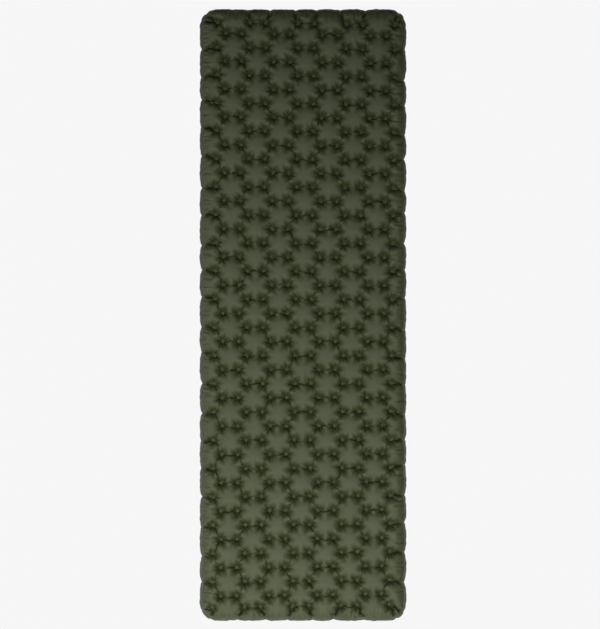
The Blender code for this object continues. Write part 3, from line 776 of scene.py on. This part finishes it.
print("helpers:", node_tree.__name__, place.__name__, grow.__name__)

# %% [markdown]
# ## The welded edge band
# Outside the pillows the two sheets are fused into one flat band. It follows a path, so Geometry
# Nodes sweep it: the outline becomes a curve, and a thin rectangle runs along it. The outer lip
# droops, because nothing holds it up, and that lip, with a little painted shade in the band's colour, is
# the dark line round the mattress.

# %% Sweep the band along the outline
BAND_OVERLAP = 0.002
BAND_THICKNESS = 0.0010
BAND_DROOP = 0.0026
BAND_CUTS = 7
LIP_SHARE = 0.5
DROOP_POWER = 2.0


def band_tree(sizes):
    """A thin rectangle, bent down on its outer side, swept along the loop that goes in."""
    tree, start, end = node_tree("edge_band", sizes)
    path = place(tree, "GeometryNodeMeshToCurve", Mesh=start.outputs["Geometry"])
    upright = place(tree, "GeometryNodeSetCurveNormal", mode="Z_UP", Curve=path.outputs[0])
    section = place(tree, "GeometryNodeCurvePrimitiveQuadrilateral", Width=start.outputs["Width"],
                    Height=start.outputs["Thickness"])
    cut = place(tree, "GeometryNodeSubdivideCurve", Curve=section.outputs[0], Cuts=start.outputs["Cuts"])
    spot = place(tree, "GeometryNodeInputPosition")
    parts = place(tree, "ShaderNodeSeparateXYZ", Vector=spot.outputs[0])
    share = place(tree, "ShaderNodeMath", operation="DIVIDE", n0=parts.outputs["X"],
                  n1=start.outputs["Width"])
    outer = place(tree, "ShaderNodeMath", operation="MAXIMUM", n0=share.outputs[0], n1=0.0)
    bent = place(tree, "ShaderNodeMath", operation="POWER", n0=outer.outputs[0], n1=DROOP_POWER)
    fall = place(tree, "ShaderNodeMath", operation="MULTIPLY", n0=bent.outputs[0],
                 n1=start.outputs["Droop"])
    shift = place(tree, "ShaderNodeCombineXYZ", Y=fall.outputs[0])
    drooped = place(tree, "GeometryNodeSetPosition", Geometry=cut.outputs[0], Offset=shift.outputs[0])
    swept = place(tree, "GeometryNodeCurveToMesh", Curve=upright.outputs[0])
    tree.links.new(drooped.outputs[0], swept.inputs[1])
    real = place(tree, "GeometryNodeRealizeInstances", Geometry=swept.outputs[0])
    smooth = place(tree, "GeometryNodeSetShadeSmooth", n0=real.outputs[0])
    coloured = place(tree, "GeometryNodeSetMaterial", Geometry=smooth.outputs[0],
                     Material=start.outputs["Material"])
    tree.links.new(coloured.outputs[0], end.inputs[0])
    return tree


band_material = bpy.data.materials.new("edge_band")
band_width = SEAM_WIDTH + BAND_OVERLAP
band_sizes = {"Width": band_width, "Thickness": BAND_THICKNESS,
              "Droop": BAND_DROOP / LIP_SHARE**DROOP_POWER, "Cuts": BAND_CUTS}
middle_line = edge_places - edge_normals * (scallop + band_width / 2)[:, None]
loop_mesh = bpy.data.meshes.new("edge_path")
ring = [(n, (n + 1) % len(middle_line)) for n in range(len(middle_line))]
loop_mesh.from_pydata(np.c_[middle_line, np.full(len(middle_line), WELD_LEVEL)].tolist(), ring, [])
edge_band = grow("edge_band", loop_mesh, band_tree(band_sizes), band_sizes, band_material)

# %% [markdown]
# ## Weld marks
# The welding tool leaves a small pressed disc with a raised rim in every pit. There are hundreds
# of them and they are all alike, so one little turned shape is instanced on the dots, each with
# a turn of its own, and then made real. A texture could paint them, but the rim catches light.

# %% Press a mark into every dot
MARK_SIZES = {"Radius": 0.0054, "Height": 0.0003, "Seed": 2}
MARK_SIDES = 16
MARK_INNER = 0.90
MARK_CORE = 0.60
MARK_LOW = 0.45
MARK_LIFT = 0.0001


def mark_tree(sizes):
    """A dished disc with a rim, on every point that goes in."""
    tree, start, end = node_tree("weld_marks", sizes)

    def times(size, share):
        return place(tree, "ShaderNodeMath", operation="MULTIPLY", n0=size, n1=share).outputs[0]

    inner = times(start.outputs["Radius"], MARK_INNER)
    core = times(start.outputs["Radius"], MARK_CORE)
    low = times(start.outputs["Height"], MARK_LOW)
    rim = place(tree, "GeometryNodeMeshCone", Vertices=MARK_SIDES, fill_type="NONE")
    tree.links.new(inner, rim.inputs["Radius Top"])
    tree.links.new(start.outputs["Radius"], rim.inputs["Radius Bottom"])
    tree.links.new(start.outputs["Height"], rim.inputs["Depth"])
    dish = place(tree, "GeometryNodeMeshCone", Vertices=MARK_SIDES, fill_type="NGON")
    tree.links.new(core, dish.inputs["Radius Top"])
    tree.links.new(inner, dish.inputs["Radius Bottom"])
    tree.links.new(low, dish.inputs["Depth"])
    both = place(tree, "GeometryNodeJoinGeometry")
    tree.links.new(rim.outputs[0], both.inputs[0])
    tree.links.new(dish.outputs[0], both.inputs[0])
    turn = place(tree, "FunctionNodeRandomValue", data_type="FLOAT_VECTOR", Seed=start.outputs["Seed"])
    turn.inputs[1].default_value = (0.0, 0.0, 2 * math.pi)
    spread = place(tree, "GeometryNodeInstanceOnPoints", Points=start.outputs["Geometry"],
                   Instance=both.outputs[0], Rotation=turn.outputs[0])
    real = place(tree, "GeometryNodeRealizeInstances", Geometry=spread.outputs[0])
    coloured = place(tree, "GeometryNodeSetMaterial", Geometry=real.outputs[0],
                     Material=start.outputs["Material"])
    tree.links.new(coloured.outputs[0], end.inputs[0])
    return tree


mark_material = bpy.data.materials.new("weld_mark")
mark_points = bpy.data.meshes.new("upper_weld_marks_points")
mark_points.from_pydata(np.c_[dots, np.full(len(dots), WELD_LEVEL + MARK_LIFT)].tolist(), [], [])
upper_marks = grow("upper_weld_marks", mark_points, mark_tree(MARK_SIZES), MARK_SIZES, mark_material)

# %% [markdown]
# ## The weave
# The cloth is a plain weave with a matt film on it. The weave is far finer than the photograph
# shows, but it breaks up the highlights in a close view. Skins, band and marks all need it, so it
# is a node group with a thread count, and each material sets its own values. It puts out a height
# for the bump and a tone that mottles the colour.

# %% Build the coated weave
YARN_TONES = (0.93, 1.03)
MOTTLE_SCALE = 14.0
MOTTLE_DETAIL = 4.0


def shader_group(name, inputs, outputs):
    """A shader node group with named sockets."""
    group = bpy.data.node_groups.new(name, "ShaderNodeTree")
    for label, kind in inputs.items():
        group.interface.new_socket(label, in_out="INPUT", socket_type=kind)
    for label, kind in outputs.items():
        group.interface.new_socket(label, in_out="OUTPUT", socket_type=kind)
    return group, group.nodes.new("NodeGroupInput"), group.nodes.new("NodeGroupOutput")


def coated_weave():
    """Plain weave on flat coordinates in metres: a height, and a tone with soft mottling."""
    group, start, end = shader_group(
        "coated_weave",
        {"Place": "NodeSocketVector", "Threads": "NodeSocketFloat", "Mottle": "NodeSocketFloat"},
        {"Height": "NodeSocketFloat", "Tone": "NodeSocketFloat"})

    def math_node(operation, a, b=0.0):
        return place(group, "ShaderNodeMath", operation=operation, n0=a, n1=b).outputs[0]

    scaled = place(group, "ShaderNodeVectorMath", operation="SCALE", n0=start.outputs["Place"],
                   Scale=start.outputs["Threads"])
    parts = place(group, "ShaderNodeSeparateXYZ", Vector=scaled.outputs[0])
    yarns, cells = [], []
    for axis in ("X", "Y"):
        wave = math_node("SINE", math_node("MULTIPLY", parts.outputs[axis], math.pi))
        yarns.append(math_node("ABSOLUTE", wave))
        cells.append(math_node("FLOOR", parts.outputs[axis]))
    over = math_node("PINGPONG", math_node("ADD", *cells), 1.0)
    weave = place(group, "ShaderNodeMix", data_type="FLOAT", n0=over, n2=yarns[0], n3=yarns[1])
    group.links.new(weave.outputs[0], end.inputs["Height"])
    broad = place(group, "ShaderNodeTexNoise", Vector=start.outputs["Place"], Scale=MOTTLE_SCALE,
                  Detail=MOTTLE_DETAIL)
    soft = math_node("SUBTRACT", broad.outputs[0], 0.5)
    mottle = math_node("MULTIPLY", soft, start.outputs["Mottle"])
    yarn_tone = place(group, "ShaderNodeMapRange", n0=weave.outputs[0], n3=YARN_TONES[0],
                      n4=YARN_TONES[1])
    group.links.new(math_node("ADD", mottle, yarn_tone.outputs[0]), end.inputs["Tone"])
    return group


weave_group = coated_weave()
print("weave group with", len(weave_group.nodes), "nodes")

# %% [markdown]
# ## Coated nylon
# The colour is a dark olive, and where it faces the light a broad grey sheen lies over the green.
# Down in the pits light bounces from cloth to cloth and loses its blue, so the pit mask mixes in
# a yellower olive. The tight folds at the edge are narrower than the mesh can show, so the fold
# mask darkens them with painted shade. Band and marks were pressed flat by the welder, and need no
# masks.

# %% Fill the fabric materials
OLIVE = (0.0636, 0.0785, 0.0236, 1)
OLIVE_DEEP = (0.0592, 0.0785, 0.0115, 1)
# the band's own greyer olive, darkened as a whole as painted shade for the dark line along the drooping
# outer lip
OLIVE_BAND_AND_SHADE = (0.060, 0.071, 0.031, 1)
OLIVE_PRESSED = (0.045, 0.055, 0.020, 1)
THREADS = 900.0
FABRIC_ROUGHNESS = 0.70
ROUGHNESS_PLAY = 0.05
ROUGHNESS_TONES = (0.85, 1.1)
FILM_GLOSS = 0.92
MARK_GLOSS = 0.55
# how much painted shade the fold mask puts into the colour of the tight edge folds
PAINTED_FOLD_SHADE = 0.90
SKIN_MOTTLE = 0.10
BAND_MOTTLE = 0.16
WEAVE_BUMP = 0.25
WEAVE_HEIGHT = 0.0003


def fabric(material, colour, gloss, mottle, place_from, deep=None):
    """Fills a material with the coated weave; deep is the colour in the pits of a sheet."""
    material.use_nodes = True
    tree = material.node_tree
    shader = tree.nodes["Principled BSDF"]
    spot = place(tree, "ShaderNodeTexCoord")
    weave = place(tree, "ShaderNodeGroup", node_tree=weave_group)
    tree.links.new(spot.outputs[place_from], weave.inputs["Place"])
    weave.inputs["Threads"].default_value = THREADS
    weave.inputs["Mottle"].default_value = mottle
    tone = weave.outputs["Tone"]
    toned = place(tree, "ShaderNodeMix", data_type="RGBA", blend_type="MULTIPLY", n0=1.0)
    toned.inputs[6].default_value = colour
    if deep:
        pit = place(tree, "ShaderNodeAttribute", attribute_name="pit")
        base = place(tree, "ShaderNodeMix", data_type="RGBA", n0=pit.outputs["Fac"], n6=colour, n7=deep)
        tree.links.new(base.outputs[2], toned.inputs[6])
        # painted shade: the fold mask darkens the tone along the tight edge folds
        fold_shade = place(tree, "ShaderNodeAttribute", attribute_name="fold_shade")
        painted_shade = place(tree, "ShaderNodeMath", operation="MULTIPLY_ADD", n0=fold_shade.outputs["Fac"],
                     n1=-PAINTED_FOLD_SHADE, n2=1.0)
        both = place(tree, "ShaderNodeMath", operation="MULTIPLY", n0=tone, n1=painted_shade.outputs[0])
        tone = both.outputs[0]
    tree.links.new(tone, toned.inputs[7])
    tree.links.new(toned.outputs[2], shader.inputs["Base Color"])
    rough = place(tree, "ShaderNodeMapRange", n0=weave.outputs["Tone"], n1=ROUGHNESS_TONES[0],
                  n2=ROUGHNESS_TONES[1], n3=FABRIC_ROUGHNESS - ROUGHNESS_PLAY,
                  n4=FABRIC_ROUGHNESS + ROUGHNESS_PLAY)
    tree.links.new(rough.outputs[0], shader.inputs["Roughness"])
    bump = place(tree, "ShaderNodeBump", Strength=WEAVE_BUMP, Distance=WEAVE_HEIGHT,
                 Height=weave.outputs["Height"])
    tree.links.new(bump.outputs[0], shader.inputs["Normal"])
    shader.inputs["Specular IOR Level"].default_value = gloss


skin_material = bpy.data.materials.new("coated_nylon")
fabric(skin_material, OLIVE, FILM_GLOSS, SKIN_MOTTLE, "UV", OLIVE_DEEP)
fabric(band_material, OLIVE_BAND_AND_SHADE, FILM_GLOSS, BAND_MOTTLE, "Object")
fabric(mark_material, OLIVE_PRESSED, MARK_GLOSS, SKIN_MOTTLE, "Object")
for sheet in (upper_sheet, lower_sheet):
    sheet.data.materials.append(skin_material)
print("fabric materials:", skin_material.name, band_material.name, mark_material.name)

# %% [markdown]
# ## Valve mouldings
# The valve under the head end is moulded plastic with rubber rings. Mouldings have a fine spark
# grain and a soft change of tone and gloss from place to place. One group makes the grain for all
# of them, and every moulding has its own colour, gloss and depth of grain.

# %% Give the valve its plastics and rubbers
CHARCOAL = (0.035, 0.036, 0.034, 1)
DARK_GREY = (0.100, 0.105, 0.095, 1)
PALE_GREY = (0.360, 0.370, 0.350, 1)
ORANGE = (0.420, 0.110, 0.020, 1)
MOULDINGS = {
    "valve_base": (CHARCOAL, 0.48, 0.20),
    "plug_tether": (CHARCOAL, 0.50, 0.20),
    "deflate_plug": (DARK_GREY, 0.46, 0.20),
    "inflate_cap": (CHARCOAL, 0.42, 0.20),
    "check_flap": (PALE_GREY, 0.35, 0.10),
    "plug_seal": (ORANGE, 0.58, 0.10),
    "cap_seal": (ORANGE, 0.58, 0.10),
}
SPARK_SCALE = 2600.0
SPARK_DETAIL = 2.0
SPARK_HEIGHT = 0.0001
SLOW_SCALE = 120.0
SLOW_DETAIL = 3.0
SLOW_TONES = (0.8, 1.2)
GLOSS_PLAY = 0.08


def moulded_grain():
    """Fine grain of a mould: a height for the bump, and a slow tone."""
    group, start, end = shader_group("moulded_grain", {"Place": "NodeSocketVector"},
                                     {"Height": "NodeSocketFloat", "Tone": "NodeSocketFloat"})
    noises = {"Height": (SPARK_SCALE, SPARK_DETAIL), "Tone": (SLOW_SCALE, SLOW_DETAIL)}
    for label, (scale, detail) in noises.items():
        noise = place(group, "ShaderNodeTexNoise", Vector=start.outputs["Place"], Scale=scale,
                      Detail=detail)
        group.links.new(noise.outputs[0], end.inputs[label])
    return group


def moulding(name, colour, roughness, strength):
    """A grained plastic or rubber for one node of the valve."""
    material = bpy.data.materials.new(name + "_moulding")
    material.use_nodes = True
    tree = material.node_tree
    shader = tree.nodes["Principled BSDF"]
    spot = place(tree, "ShaderNodeTexCoord")
    grain = place(tree, "ShaderNodeGroup", node_tree=grain_group)
    tree.links.new(spot.outputs["Object"], grain.inputs["Place"])
    shade = place(tree, "ShaderNodeMapRange", n0=grain.outputs["Tone"], n3=SLOW_TONES[0],
                  n4=SLOW_TONES[1])
    toned = place(tree, "ShaderNodeMix", data_type="RGBA", blend_type="MULTIPLY", n0=1.0, n6=colour)
    tree.links.new(shade.outputs[0], toned.inputs[7])
    tree.links.new(toned.outputs[2], shader.inputs["Base Color"])
    gloss = place(tree, "ShaderNodeMapRange", n0=grain.outputs["Tone"], n3=roughness - GLOSS_PLAY,
                  n4=roughness + GLOSS_PLAY)
    tree.links.new(gloss.outputs[0], shader.inputs["Roughness"])
    bump = place(tree, "ShaderNodeBump", Strength=strength, Distance=SPARK_HEIGHT,
                 Height=grain.outputs["Height"])
    tree.links.new(bump.outputs[0], shader.inputs["Normal"])
    return material


grain_group = moulded_grain()
for name, finish in MOULDINGS.items():
    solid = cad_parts[name]
    made = moulding(name, *finish)
    if solid.material_slots:
        for spot in solid.material_slots:
            spot.material = made
    else:
        solid.data.materials.append(made)
print("finished", len(MOULDINGS), "valve pieces")

# %% [markdown]
# ## Which body each piece rides on
# The sheets, the band and the marks are welded to one another, so they all ride on the mattress
# itself. The sheets and the band hide the solids that they stand for. The two sheets are held
# all round and filled with air.

# %% Tie the pieces to the frame
for piece, node, finish in ((upper_sheet, "top_skin", "skin_fabric"),
                            (lower_sheet, "bottom_skin", "skin_fabric"),
                            (edge_band, "edge_seam", "seam_fabric")):
    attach(piece, "mat")
    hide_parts(node)
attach(upper_marks, "mat")
print("four pieces ride on the mattress")

# %% [markdown]
# ## The floor
# The photograph has a pale, even ground without shadows. A white plane would show the shading of
# the lights, so this one glows evenly where the camera looks at it and stays matt for the light
# that bounces. From below it is clear, so that the valve can be looked at.

# %% Lay the floor
FLOOR_SIZE = 14.0
FLOOR_LEVEL = -0.0005
FLOOR_TONE = (0.925, 0.925, 0.925, 1)
FLOOR_MATT = (0.55, 0.55, 0.55, 1)


def floor_material():
    """Pale and even to the camera, plain and matt to the light, and clear from below."""
    material = bpy.data.materials.new("pale_floor")
    material.use_nodes = True
    tree = material.node_tree
    matt = tree.nodes["Principled BSDF"]
    matt.inputs["Base Color"].default_value = FLOOR_MATT
    matt.inputs["Roughness"].default_value = 1.0
    glow = place(tree, "ShaderNodeEmission", Color=FLOOR_TONE)
    clear = place(tree, "ShaderNodeBsdfTransparent")
    ray = place(tree, "ShaderNodeLightPath")
    side = place(tree, "ShaderNodeNewGeometry")
    seen = place(tree, "ShaderNodeMixShader", n0=ray.outputs["Is Camera Ray"], n1=matt.outputs[0],
                 n2=glow.outputs[0])
    gone = place(tree, "ShaderNodeMath", operation="MAXIMUM", n0=side.outputs["Backfacing"],
                 n1=ray.outputs["Is Shadow Ray"])
    both = place(tree, "ShaderNodeMixShader", n0=gone.outputs[0], n1=seen.outputs[0],
                 n2=clear.outputs[0])
    tree.links.new(both.outputs[0], tree.nodes["Material Output"].inputs["Surface"])
    return material


half = FLOOR_SIZE / 2
floor_mesh = bpy.data.meshes.new("floor")
floor_mesh.from_pydata([(-half, -half, FLOOR_LEVEL), (half, -half, FLOOR_LEVEL),
                        (half, half, FLOOR_LEVEL), (-half, half, FLOOR_LEVEL)], [], [(0, 1, 2, 3)])
floor = bpy.data.objects.new("floor", floor_mesh)
floor.data.materials.append(floor_material())
bpy.context.collection.objects.link(floor)
print(f"floor {FLOOR_SIZE:.0f} m wide")

# %% [markdown]
# ## Light
# One broad soft light hangs high up beyond the foot end, and its beam fades with the angle, so
# the foot is brighter than the head while the shading of the pillows stays alike. Two weak lamps
# stand low at the left side and at the foot, and brighten the slopes that face them. A lamp under
# the floor is for looks at the valve, and never reaches the upper side. The world adds a trace of
# light from everywhere, and is as pale as the floor to the camera alone.

# %% Hang the lamps
KEY_PLACE = (-0.8, -3.4, 10.0)
KEY_SIZE = 5.0
KEY_POWER = 111
KEY_TILT = 6.0
KEY_SPREAD = 47
LOW_SIZE = 1.6
SIDE_PLACE = (-2.6, -0.2, 0.5)
SIDE_POWER = 13
FOOT_PLACE = (-0.3, -3.2, 0.6)
FOOT_POWER = 14
UNDER_PLACE = (0, 0, -1.5)
UNDER_SIZE = 2.0
UNDER_POWER = 45
FILL = 0.016


def area_light(name, spot, power, size, turn, spread=180):
    """A square lamp that the camera doesn't see; spread is the width of its beam in degrees."""
    lamp = bpy.data.lights.new(name, "AREA")
    lamp.energy = power
    lamp.size = size
    lamp.spread = math.radians(spread)
    made = bpy.data.objects.new(name, lamp)
    made.location = spot
    made.rotation_euler = turn
    made.visible_camera = False
    bpy.context.collection.objects.link(made)


area_light("soft_key", KEY_PLACE, KEY_POWER, KEY_SIZE, (math.radians(KEY_TILT), 0, 0), KEY_SPREAD)
area_light("low_side", SIDE_PLACE, SIDE_POWER, LOW_SIZE, (0, -math.pi / 2, 0))
area_light("low_foot", FOOT_PLACE, FOOT_POWER, LOW_SIZE, (math.pi / 2, 0, 0))
area_light("from_below", UNDER_PLACE, UNDER_POWER, UNDER_SIZE, (math.pi, 0, 0))
world = bpy.data.worlds.new("studio")
world.use_nodes = True
sky = world.node_tree
dim = sky.nodes["Background"]
dim.inputs["Color"].default_value = (1, 1, 1, 1)
dim.inputs["Strength"].default_value = FILL
pale = place(sky, "ShaderNodeBackground", Color=FLOOR_TONE)
looked_at = place(sky, "ShaderNodeLightPath")
backdrop = place(sky, "ShaderNodeMixShader", n0=looked_at.outputs["Is Camera Ray"],
                 n1=dim.outputs[0], n2=pale.outputs[0])
sky.links.new(backdrop.outputs[0], sky.nodes["World Output"].inputs["Surface"])
scene = bpy.context.scene
scene.world = world
scene.view_settings.view_transform = "Standard"
print("lamps:", [lamp.name for lamp in bpy.data.lights])

# %% [markdown]
# ## Camera
# The photograph looks straight down. A long lens from far above keeps the outline free of
# perspective, and its focal length follows from the real size of one pixel of the picture.

# %% Set up the camera
PIXEL = 0.00311
IMAGE_WIDTH, IMAGE_HEIGHT = 600, 629
MIDDLE_PIXEL = (303, 315)
CAMERA_HEIGHT = 9.0
lens = bpy.data.cameras.new("photo_lens")
frame_height = IMAGE_HEIGHT * PIXEL
lens.lens = lens.sensor_width * (CAMERA_HEIGHT - WELD_LEVEL) / frame_height
camera = bpy.data.objects.new("photo_camera", lens)
camera.location = ((IMAGE_WIDTH / 2 - MIDDLE_PIXEL[0]) * PIXEL,
                   (MIDDLE_PIXEL[1] - IMAGE_HEIGHT / 2) * PIXEL, CAMERA_HEIGHT)
bpy.context.collection.objects.link(camera)
scene.camera = camera
print(f"camera {CAMERA_HEIGHT} m up with a {lens.lens:.0f} mm lens")
